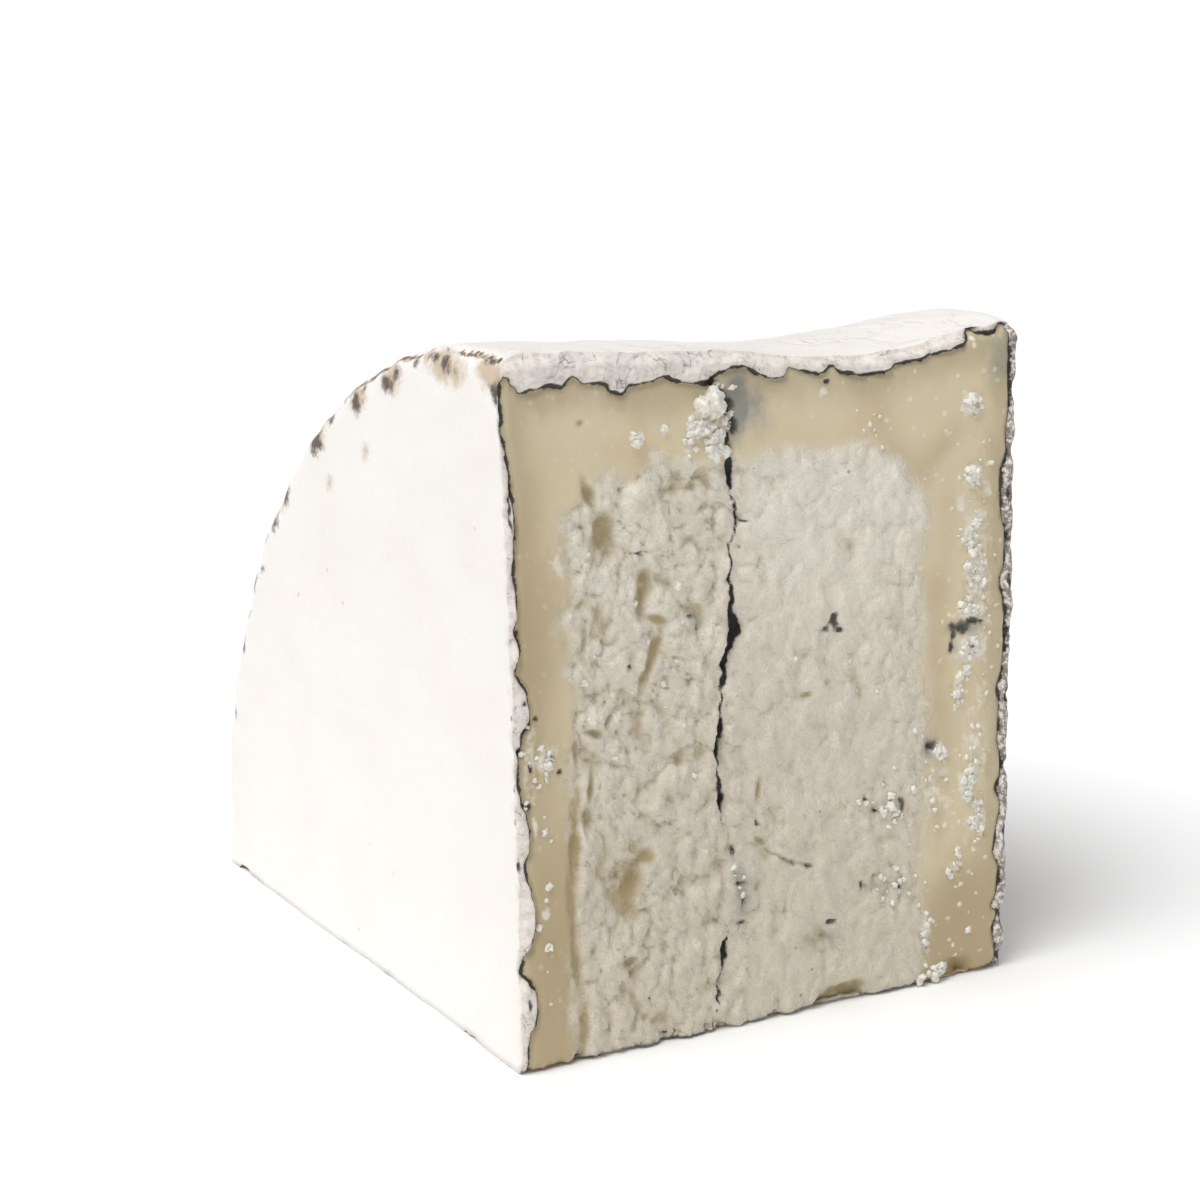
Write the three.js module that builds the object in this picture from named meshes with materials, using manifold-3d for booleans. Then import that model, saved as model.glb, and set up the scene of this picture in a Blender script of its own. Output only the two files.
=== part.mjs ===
// A wedge of soft cheese: close to a quarter of a wheel, standing on one of its two cut faces.
//
// The wheel is turned as one solid about its own axis: two flat faces that dish in towards the middle,
// a rim that is slightly waisted, and a rounded, raised edge where they meet. Two knife cuts that meet
// on the axis then take the wedge out of it. Rind, ripened layer and core grew together, so it is one
// solid and one node.
//
// Units are millimetres, +Z is up. The wheel's axis lies along X, and the wedge stands on its lower cut
// face at Z = 0. The other cut face looks towards -Y. The origin is the middle of the box's base.

import * as THREE from "three";
import { mergeVertices } from "three/addons/utils/BufferGeometryUtils.js";
import Module from "manifold-3d";

const WHEEL_RADIUS = 95; // axis to the raised edge of the rim
const WHEEL_HEIGHT = 79; // across the wheel, from one raised edge to the other
const WEDGE_ANGLE = THREE.MathUtils.degToRad(88); // between the two cut faces
const RIM_WAIST = 1.6; // how far the rim sinks in, halfway across the wheel
const FACE_DISH = 1.2; // how far each flat face sinks in, at the wheel's axis
const EDGE_ROUND = 2.6; // radius of the edge between the rim and a flat face

const WHEEL_SEGMENTS = 192; // round the whole wheel
const FACE_STEPS = 10; // from the axis to the rounded edge
const EDGE_STEPS = 6; // round the edge
const RIM_STEPS = 14; // across the rim

// Half of the wheel's section, from the middle of one flat face to the middle of the other.
// x is the distance from the wheel's axis and y the distance along it.
function wheelProfile() {
  const half = WHEEL_HEIGHT / 2;
  const inner = WHEEL_RADIUS - EDGE_ROUND;
  const points = [];
  const addFace = (side, from, to) => {
    for (let i = 0; i < FACE_STEPS; i++) {
      const r = THREE.MathUtils.lerp(from, to, i / FACE_STEPS);
      const dish = FACE_DISH * Math.cos((r / inner) * (Math.PI / 2));
      points.push(new THREE.Vector2(r, side * (half - dish)));
    }
  };
  const addEdge = (side, from, to) => {
    for (let i = 0; i < EDGE_STEPS; i++) {
      const turn = THREE.MathUtils.lerp(from, to, i / EDGE_STEPS);
      const r = inner + EDGE_ROUND * Math.cos(turn);
      const along = side * (half - EDGE_ROUND) + EDGE_ROUND * Math.sin(turn);
      points.push(new THREE.Vector2(r, along));
    }
  };
  addFace(-1, 0, inner);
  addEdge(-1, -Math.PI / 2, 0);
  for (let i = 0; i < RIM_STEPS; i++) {
    const along = THREE.MathUtils.lerp(EDGE_ROUND - half, half - EDGE_ROUND, i / RIM_STEPS);
    const waist = RIM_WAIST * Math.cos((along / (half - EDGE_ROUND)) * (Math.PI / 2)) ** 2;
    points.push(new THREE.Vector2(WHEEL_RADIUS - waist, along));
  }
  addEdge(1, 0, Math.PI / 2);
  addFace(1, inner, 0);
  points.push(new THREE.Vector2(0, half - FACE_DISH));
  return points;
}

// The whole wheel, with its axis turned from Y to X.
function wheelGeometry() {
  return new THREE.LatheGeometry(wheelProfile(), WHEEL_SEGMENTS).rotateZ(-Math.PI / 2);
}

// The prism between the two cuts. Its section is drawn in the wheel's plane, with the lower cut along
// +Y, and it runs past the wheel on every side but the two cuts.
function cutPrismGeometry() {
  const reach = 2 * WHEEL_RADIUS;
  const section = new THREE.Shape();
  section.moveTo(0, 0);
  section.lineTo(reach, 0);
  section.lineTo(reach, reach);
  section.lineTo(reach * Math.cos(WEDGE_ANGLE), reach * Math.sin(WEDGE_ANGLE));
  section.closePath();
  const depth = 2 * WHEEL_HEIGHT;
  const prism = new THREE.ExtrudeGeometry(section, { depth, bevelEnabled: false });
  prism.translate(0, 0, -depth / 2);
  // The section's x and y and the extrusion's z become Y, Z and X.
  const toWheel = new THREE.Matrix4().makeBasis(
    new THREE.Vector3(0, 1, 0),
    new THREE.Vector3(0, 0, 1),
    new THREE.Vector3(1, 0, 0),
  );
  return prism.applyMatrix4(toWheel);
}

const wasm = await Module();
wasm.setup();

function toSolid(geometry) {
  const bare = geometry.clone();
  bare.deleteAttribute("normal");
  bare.deleteAttribute("uv");
  const merged = mergeVertices(bare, 1e-4);
  return new wasm.Manifold(
    new wasm.Mesh({
      numProp: 3,
      vertProperties: merged.attributes.position.array,
      triVerts: new Uint32Array(merged.index.array),
    }),
  );
}

function toGeometry(solid) {
  const { vertProperties, triVerts } = solid.getMesh();
  const geometry = new THREE.BufferGeometry();
  geometry.setAttribute("position", new THREE.BufferAttribute(vertProperties, 3));
  geometry.setIndex(new THREE.BufferAttribute(triVerts, 1));
  geometry.computeVertexNormals();
  return geometry;
}

function cheeseWedge() {
  const wedge = toSolid(wheelGeometry()).intersect(toSolid(cutPrismGeometry()));
  const material = new THREE.MeshStandardMaterial({
    color: 0xf1e9da,
    roughness: 0.7,
    metalness: 0,
  });
  const mesh = new THREE.Mesh(toGeometry(wedge), material);
  mesh.name = "cheese_wedge";
  mesh.position.y = -WHEEL_RADIUS / 2; // the apex edge is the front of the box, the rim its back
  return mesh;
}

const cheese = new THREE.Group();
cheese.add(cheeseWedge());

export default cheese;
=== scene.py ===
"""A wedge of soft goat cheese with a bloomy rind, standing on one of its two cut faces.

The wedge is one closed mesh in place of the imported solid. It starts as a block of fine squares and is bent
into a sector of the wheel, and then the rind's folds and the broken curd of the two cut faces are raised
on it. Loose crumbs cling to the front cut.

Places on the cheese are in millimetres: "across" runs over the wheel from its left flat face to its right
one, "out" runs from the wheel's axis to its rim, and "turn" goes round the axis, from the lower cut to the
front cut.
"""

import math
import random

import bmesh
import bpy
from mathutils import Euler, Matrix, Vector, noise


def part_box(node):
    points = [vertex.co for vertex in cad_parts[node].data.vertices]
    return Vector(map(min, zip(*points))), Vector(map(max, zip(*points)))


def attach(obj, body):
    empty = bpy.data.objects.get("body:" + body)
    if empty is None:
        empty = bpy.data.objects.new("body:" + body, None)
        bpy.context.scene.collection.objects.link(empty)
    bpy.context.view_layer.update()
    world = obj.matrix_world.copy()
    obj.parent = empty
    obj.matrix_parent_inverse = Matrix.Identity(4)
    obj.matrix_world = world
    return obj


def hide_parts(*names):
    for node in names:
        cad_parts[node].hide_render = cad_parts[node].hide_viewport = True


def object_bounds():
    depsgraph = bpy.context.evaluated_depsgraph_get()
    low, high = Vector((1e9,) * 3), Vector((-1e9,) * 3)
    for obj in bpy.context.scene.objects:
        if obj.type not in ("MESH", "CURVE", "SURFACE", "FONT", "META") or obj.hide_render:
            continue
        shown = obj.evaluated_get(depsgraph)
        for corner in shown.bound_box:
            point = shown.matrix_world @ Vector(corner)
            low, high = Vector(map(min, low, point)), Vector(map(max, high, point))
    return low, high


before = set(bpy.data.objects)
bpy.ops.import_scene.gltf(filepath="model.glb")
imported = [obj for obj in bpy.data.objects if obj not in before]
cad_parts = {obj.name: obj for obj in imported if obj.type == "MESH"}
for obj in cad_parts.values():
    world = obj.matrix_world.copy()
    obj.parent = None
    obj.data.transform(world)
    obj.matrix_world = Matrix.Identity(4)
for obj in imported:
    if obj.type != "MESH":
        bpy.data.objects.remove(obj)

MM = 0.001
CAD_LOW, CAD_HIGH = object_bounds()
WEDGE_LOW, WEDGE_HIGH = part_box("cheese_wedge")

# ---------------------------------------------------------------- the wheel and its cuts, in millimetres
WIDTH = (WEDGE_HIGH.x - WEDGE_LOW.x) / MM
RADIUS = (WEDGE_HIGH.y - WEDGE_LOW.y) / MM
CUT_ANGLE = math.radians(88)
EDGE_ROUND = 2.6
FACE_DISH = 1.2
RIM_WAIST = 2.1
RIM_DIP = 1.4  # how much deeper the waist is at the front cut
RIM_FLARE = 0.9
RIM_LEAN = 3.2  # how much the rim drops from its left edge to its right one, at the front cut
SKIN_REACH = 8.0  # how deep a fold of the rind still bends the cheese under it

# ---------------------------------------------------------------- the mesh
CELLS_ACROSS = 58
CELLS_OUT = 64
FRONT_CUTS = 3
LOWER_CUTS = 1
SIDE_CROWDING = 0.3  # how much closer the cells lie near the flat faces
RIM_CROWDING = 0.22  # how much closer they lie near the rim
TINY = 1e-5

# ---------------------------------------------------------------- the layers under the rind, in millimetres
CORE_LEFT = 9.5
CORE_RIGHT = 64.0
CORE_TOP = 79.0
CORE_CORNER = 12.0
# The ash between rind and paste: (out, across) on the left, (out, short of the right face), (across, out)
LEFT_ASH = [
    (0, 1.2), (3, 1.1), (5.5, 1.7), (6.6, 2.6), (8.5, 3.1), (11, 3.0), (12.4, 2.0), (14, 0.5), (16, 0.8),
    (17.5, 2.2), (19.3, 3.1), (22, 2.8), (25, 2.2), (26.5, 1.6), (28.5, 1.2), (30.5, 2.4), (33, 2.6),
    (35, 2.2), (37, 1.2), (40, 0.8), (43, 1.1), (45.5, 1.6), (48, 3.0), (51, 2.7), (54, 1.0), (57, 1.9),
    (59.5, 1.1), (62, 1.6), (64, 1.7), (67, 1.1), (70, 1.5), (75, 1.8), (79, 1.3), (82, 0.9), (85, 0.5),
    (88, 0.4), (95, 0.5),
]
RIGHT_ASH = [
    (0, 1.0), (2, 0.8), (6, 1.6), (8.5, 0.7), (9.5, 1.9), (12, 0.9), (15.5, 0.8), (18, 1.9), (21, 1.6),
    (25, 0.8), (27.5, 1.8), (30, 0.6), (32, 0.7), (35, 1.3), (39, 1.1), (42.5, 1.7), (45, 0.8), (48.5, 0.5),
    (52, 0.7), (55, 1.2), (58, 1.8), (61, 1.0), (65, 0.8), (68, 1.6), (71, 1.8), (74, 1.6), (77, 0.7),
    (80, 0.8), (85, 0.4), (90, 0.7), (93, 0.9), (95, 0.7),
]
RIM_ASH = [
    (0.4, 90.6), (1.3, 91.6), (2.4, 90.5), (3.2, 89.7), (5, 90.0), (7.3, 90.4), (9, 90.0), (10.8, 91.3),
    (12.3, 90.3), (13.8, 90.3), (15.2, 90.0), (16.2, 89.0), (17.5, 88.6), (19, 89.8), (21.5, 89.9),
    (24, 90.5), (26, 89.7), (28.5, 89.4), (30.8, 89.2), (32.2, 90.6), (34.5, 91.2), (36.2, 91.1),
    (38, 90.0), (40, 89.3), (41.6, 89.4), (42.6, 90.6), (44.5, 90.1), (47.4, 89.5), (49.3, 90.4),
    (51, 89.3), (54, 88.9), (57.5, 89.0), (59.5, 90.1), (63, 90.3), (65, 91.0), (68, 91.4), (70, 91.9),
    (71.7, 94.1), (73, 93.6), (75, 93.5), (77, 94.5), (79, 94.6),
]

# The ash seam through the core, from the rim to the axis: (across, out, half width)
SEAM = [
    (30.9, 90.0, 0.5),
    (32.6, 87.4, 0.35),
    (33.9, 84.0, 0.3),
    (33.1, 80.4, 0.25),
    (34.1, 77.2, 0.5),
    (33.6, 74.6, 0.05),
    (34.9, 70.8, 0.25),
    (33.6, 67.6, 0.02),
    (33.3, 63.0, 0.22),
    (33.8, 58.5, 0.4),
    (34.3, 56.0, 0.95),
    (32.9, 52.6, 0.45),
    (31.8, 47.5, 0.15),
    (31.5, 45.0, 0.2),
    (31.9, 41.5, 0.42),
    (31.8, 38.0, 0.2),
    (31.1, 36.4, 0.15),
    (32.0, 33.0, 0.4),
    (32.0, 30.2, 0.1),
    (33.6, 26.0, -0.4),
    (34.4, 17.0, -0.4),
    (32.8, 13.8, 0.05),
    (32.6, 11.8, 0.35),
    (31.6, 8.0, 0.15),
    (31.3, 5.0, 0.22),
    (30.6, 2.4, 0.05),
    (30.6, 0.0, 0.1),
]

# Where pieces of curd tore out of the front cut: (across, out, half width, half length, lean, depth)
TEAR_OUTS = [
    (15.0, 70.8, 2.1, 3.8, 4, 1.3),
    (12.8, 75.8, 0.9, 2.8, -25, 0.8),
    (20.6, 62.6, 1.3, 3.2, 8, 1.1),
    (22.4, 58.8, 1.7, 0.6, 20, 0.4),
    (21.4, 53.0, 0.9, 4.6, 24, 0.9),
    (12.3, 44.8, 1.6, 0.6, 15, 0.6),
    (10.3, 42.2, 0.6, 2.4, 0, 0.6),
    (12.3, 37.4, 0.6, 2.4, 12, 0.7),
    (11.6, 33.2, 0.9, 2.0, 0, 0.7),
    (17.3, 22.4, 2.6, 4.8, 8, 1.3),
    (20.3, 27.0, 1.3, 1.3, 0, 0.8),
    (17.6, 12.6, 1.3, 0.8, 0, 0.6),
    (9.8, 30.5, 0.8, 7.0, 4, 0.5),
    (9.0, 22.0, 0.8, 5.5, -4, 0.5),
    (9.8, 13.0, 0.8, 7.0, -6, 0.5),
    (10.6, 4.0, 0.8, 7.0, 4, 0.5),
    (11.5, 85.4, 0.8, 0.6, -30, 0.3),
    (38.0, 25.9, 0.5, 1.3, -50, 0.6),
    (45.2, 45.4, 1.0, 0.5, -10, 0.5),
    (48.4, 47.0, 0.6, 0.7, 20, 0.4),
    (37.6, 33.6, 0.5, 1.8, 12, 0.4),
    (51.0, 1.0, 4.6, 1.9, -12, 1.6),
    (70.0, 1.5, 2.4, 2.0, 0, 1.4),
]

# Cracks in the front cut: points (across, out), then the half width
CRACKS = [
    ([(11.6, 62), (11.4, 58), (11.9, 54)], 0.5),
    ([(10.8, 41.5), (12.8, 40.8), (14.4, 39.6)], 0.4),
    ([(13.8, 33.4), (16.0, 31.4), (18.4, 28.0)], 0.45),
    ([(19.0, 21.2), (20.8, 19.2), (22.8, 15.6)], 0.4),
    ([(39.0, 24.8), (40.6, 23.4), (42.6, 22.2), (45.6, 21.2)], 0.22),
    ([(27.6, 31.8), (24.0, 30.6)], 0.3),
    ([(42.2, 19.5), (41.4, 15.0)], 0.3),
    ([(17.2, 47.6), (14.6, 45.6)], 0.4),
]

# Where the curd right of the seam lies loose: (across, out, half width, half length, strength)
LOOSE = [
    (58.0, 27.5, 5.0, 3.6, 0.8),
    (64.5, 34.5, 2.6, 3.6, 0.7),
    (58.5, 16.5, 5.0, 3.6, 0.8),
    (36.0, 19.0, 3.6, 9.0, 0.5),
    (48.5, 10.0, 2.4, 3.4, 0.6),
    (40.0, 26.0, 6.0, 4.0, 0.4),
    (60.0, 58.0, 3.0, 6.0, 0.3),
]

# White curd smeared over the ripe layer, first round the top of the seam and then elsewhere:
# (across, out, half width, half length, strength)
SEAM_SMEARS = [
    (30.4, 86.6, 1.9, 1.8, 1.0),
    (31.2, 82.2, 1.5, 2.0, 1.0),
    (28.4, 84.4, 1.3, 1.3, 0.9),
    (27.3, 81.4, 1.0, 1.6, 0.8),
    (19.5, 83.0, 1.5, 0.9, 0.9),
    (24.0, 83.7, 0.9, 0.8, 0.6),
    (22.5, 80.6, 2.2, 1.0, 0.5),
    (47.8, 87.2, 0.7, 0.6, 0.9),
]
SMEARS = [
    (72.6, 62.0, 3.6, 18.0, 0.5),
    (72.6, 30.0, 3.0, 14.0, 0.48),
    (66.0, 30.0, 5.0, 9.0, 0.4),
    (3.0, 42.0, 2.0, 10.0, 0.5),
    (71.5, 84.0, 1.5, 1.7, 1.1),
    (72.0, 74.0, 1.4, 1.8, 1.0),
    (70.0, 70.0, 1.0, 1.5, 0.6),
    (71.5, 65.0, 1.8, 2.5, 0.7),
    (72.5, 58.5, 2.2, 3.5, 0.8),
    (71.5, 54.6, 2.8, 1.5, 0.9),
    (71.8, 48.8, 3.0, 2.8, 0.9),
    (69.5, 44.5, 1.2, 2.2, 0.8),
    (73.5, 42.0, 1.5, 3.0, 0.5),
    (66.3, 34.8, 1.5, 1.3, 1.0),
    (73.0, 34.0, 1.3, 2.5, 0.6),
    (71.2, 28.5, 1.6, 2.4, 0.9),
    (73.5, 23.5, 1.3, 3.0, 0.7),
    (69.5, 17.0, 1.5, 1.0, 0.8),
    (64.5, 8.0, 1.0, 4.0, 0.7),
    (5.6, 42.2, 1.8, 1.8, 1.0),
    (3.4, 33.0, 1.0, 2.5, 0.8),
    (5.2, 21.5, 0.8, 0.9, 0.9),
    (8.2, 68.0, 1.4, 3.0, 0.6),
]

# Where the ripe layer is darker, as ripeness and, in the first two along the left of the cut, as painted
# shade: (across, out, half width, half length, strength)
RIPE_AND_SHADE = [
    (4.0, 58.0, 7.0, 36.0, 0.75),
    (6.5, 12.0, 5.0, 30.0, 1.0),
    (70.0, 4.0, 11.0, 22.0, 1.0),
    (66.5, 46.0, 3.2, 36.0, 0.5),
    (62.0, 82.0, 10.0, 7.0, 0.6),
    (76.0, 60.0, 4.0, 30.0, 0.4),
]

# Black spots of ash on the front cut: (across, out, half width, half length)
ASH_SPOTS = [
    (49.7, 55.4, 0.9, 1.3),
    (48.5, 54.4, 0.8, 0.5),
    (50.5, 54.0, 0.7, 0.6),
    (70.0, 52.1, 1.7, 1.1),
    (71.8, 52.9, 1.2, 0.6),
    (73.4, 52.6, 0.6, 0.4),
    (68.9, 51.0, 0.6, 0.9),
    (68.5, 49.4, 0.5, 0.8),
    (65.4, 35.6, 0.8, 0.9),
    (78.6, 94.4, 0.5, 0.5),
    (72.0, 94.2, 0.7, 0.4),
    (0.6, 48.2, 0.35, 0.8),
    (0.8, 39.0, 0.35, 0.8),
    (3.2, 36.0, 0.4, 0.8),
    (1.2, 75.0, 0.25, 2.4),
    (1.4, 28.4, 0.5, 0.9),
    (2.4, 9.6, 0.3, 1.0),
    (4.4, 47.8, 0.4, 0.5),
    (2.6, 50.2, 0.4, 0.5),
    (3.4, 41.4, 0.3, 0.6),
    (0.9, 34.4, 0.4, 0.5),
    (2.0, 72.4, 0.3, 1.2),
    (1.7, 77.8, 0.3, 0.9),
    (2.1, 59.0, 0.3, 0.7),
    (1.9, 43.7, 0.5, 0.6),
    (7.6, 40.2, 0.5, 0.5),
    (18.2, 53.0, 0.5, 0.5),
    (20.0, 67.8, 1.1, 0.3),
    (27.8, 58.4, 0.6, 0.3),
    (28.6, 56.9, 0.3, 0.6),
    (54.6, 29.2, 0.5, 0.5),
    (56.6, 27.2, 0.5, 0.4),
    (60.6, 27.6, 0.6, 1.3),
    (60.2, 15.8, 0.5, 1.1),
    (54.2, 16.6, 0.4, 0.8),
    (49.2, 12.4, 0.9, 0.4),
    (45.6, 21.3, 0.8, 0.5),
    (43.2, 22.2, 0.4, 0.4),
    (48.4, 88.4, 0.6, 0.4),
    (33.4, 86.3, 1.0, 1.2),
    (34.2, 83.4, 0.8, 1.2),
    (33.4, 80.2, 0.7, 0.9),
    (35.8, 70.5, 0.7, 0.25),
    (33.6, 25.2, 0.4, 0.7),
    (34.4, 20.6, 0.8, 0.4),
    (35.2, 18.2, 0.4, 1.3),
    (34.8, 14.9, 0.7, 0.5),
    (37.4, 28.6, 0.3, 0.5),
    (20.6, 6.8, 0.3, 0.3),
    (64.8, 6.0, 0.3, 0.6),
    (77.8, 70.5, 0.5, 1.4),
    (77.9, 64.0, 0.4, 1.8),
    (78.0, 58.0, 0.5, 1.2),
    (77.8, 50.5, 0.5, 1.6),
    (77.9, 41.0, 0.4, 1.4),
    (77.7, 30.5, 0.5, 1.2),
    (77.8, 21.0, 0.5, 1.6),
    (77.9, 8.0, 0.5, 1.5),
    (77.5, 2.0, 0.6, 1.0),
]

# Blue-grey ash dust on the front cut: (across, out, half width, half length, strength)
DUST = [
    (34.6, 86.0, 2.2, 4.8, 1.6),
    (36.8, 85.5, 4.2, 5.4, 0.8),
    (33.2, 78.0, 1.4, 3.4, 0.8),
    (34.0, 71.0, 1.0, 3.0, 0.5),
    (33.8, 56.5, 2.0, 5.0, 0.6),
    (31.9, 40.0, 1.2, 7.0, 0.5),
    (34.6, 19.0, 2.4, 6.0, 0.75),
    (31.8, 9.0, 1.4, 6.0, 0.5),
    (65.0, 35.4, 1.7, 2.2, 1.0),
    (49.2, 10.5, 1.8, 2.6, 0.7),
    (28.2, 57.4, 1.4, 1.5, 0.8),
    (70.4, 52.0, 3.6, 1.6, 0.9),
    (69.0, 49.4, 1.2, 1.6, 0.7),
    (58.0, 27.8, 4.0, 2.2, 0.6),
    (58.5, 16.0, 5.0, 2.0, 0.6),
    (2.4, 46.0, 1.4, 9.0, 0.5),
    (49.5, 54.8, 2.0, 2.0, 0.5),
    (76.5, 90.0, 4.0, 6.0, 0.75),
    (78.2, 92.8, 1.2, 2.2, 1.4),
    (34.4, 90.4, 3.0, 1.6, 0.6),
]

# Where the round edge of the left face is rubbed through to the ash, and where only to the tan crust:
# (degrees from the lower cut, in from the edge, radius)
DARK_SPOTS = [
    (51.8, 1.8, 1.7),
    (55.5, 1.3, 0.9),
    (59.0, 0.7, 0.5),
    (61.5, 2.8, 1.3),
    (63.5, 1.4, 0.5),
    (68.2, 3.0, 1.2),
    (70.2, 2.2, 1.0),
    (74.0, 1.2, 0.8),
    (77.2, 1.2, 0.9),
    (79.4, 2.1, 1.0),
    (81.4, 3.2, 0.5),
    (42.4, 1.6, 1.1),
    (38.8, 1.9, 0.9),
    (36.0, 0.8, 0.4),
    (33.0, 2.8, 0.6),
    (30.6, 1.4, 1.0),
    (27.0, 1.0, 0.3),
    (23.0, 1.5, 0.8),
    (15.8, 1.8, 0.6),
    (87.4, 5.0, 1.2),
    (86.2, 0.6, 0.8),
]
TAN_SPOTS = [
    (78.8, 1.9, 2.3),
    (81.0, 3.2, 1.6),
    (76.0, 0.8, 1.2),
    (86.8, 2.6, 2.2),
    (69.2, 2.4, 1.8),
    (62.0, 2.2, 1.6),
    (52.6, 1.6, 1.7),
    (42.0, 1.4, 1.2),
    (61.0, 9.4, 0.4),
    (52.0, 8.4, 0.4),
]


# ================================================================ small sums
def smooth(low, high, value):
    """0 up to low, 1 from high, and a soft step between them."""
    part = min(max((value - low) / (high - low), 0.0), 1.0)
    return part * part * (3 - 2 * part)


def along_path(path, place):
    """The second number of each pair of a path, read between its points."""
    if place <= path[0][0]:
        return path[0][1]
    for (low, start), (high, end) in zip(path, path[1:]):
        if place <= high:
            part = smooth(low, high, place)
            return start + (end - start) * part
    return path[-1][1]


def off_path(path, place, value):
    """How far a value is above a path of (place, value) pairs. Near the path it is measured square to it."""
    gap = value - along_path(path, place)
    if abs(gap) < 3:
        slope = (along_path(path, place + 0.25) - along_path(path, place - 0.25)) / 0.5
        near = gap / math.hypot(1, slope * (1 - smooth(0.6, 3, abs(gap))))
    far = value - 0.5 * (along_path(path, place - 3) + along_path(path, place + 3))
    return far if abs(gap) >= 3 else near + (far - near) * smooth(1, 3, abs(gap))


def wander(size, *place):
    """Soft noise from about -1 to 1, whose swells are about the given size."""
    return 1.4 * noise.noise(Vector(place) / size)


def oval(across, out, half_width, half_length, lean=0.0):
    """How far a place is from an oval's middle, in half widths: 1 is its edge."""
    tilt = math.radians(lean)
    side = across * math.cos(tilt) - out * math.sin(tilt)
    up = across * math.sin(tilt) + out * math.cos(tilt)
    return math.hypot(side / half_width, up / half_length)


def covered(ovals, across, out):
    """How strongly soft ovals (across, out, half width, half length, strength) cover a place."""
    most = 0.0
    for mid_across, mid_out, half_width, half_length, strength in ovals:
        side, up = (across - mid_across) / half_width, (out - mid_out) / half_length
        if abs(side) < 2.5 and abs(up) < 2.5:
            most = max(most, strength * math.exp(-side * side - up * up))
    return most


def to_segment(across, out, start, end):
    """Distance to a straight piece of a line, and how far along it the nearest point is."""
    run_a, run_o = end[0] - start[0], end[1] - start[1]
    part = ((across - start[0]) * run_a + (out - start[1]) * run_o) / (run_a**2 + run_o**2)
    part = min(max(part, 0.0), 1.0)
    return math.hypot(across - start[0] - part * run_a, out - start[1] - part * run_o), part


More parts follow.
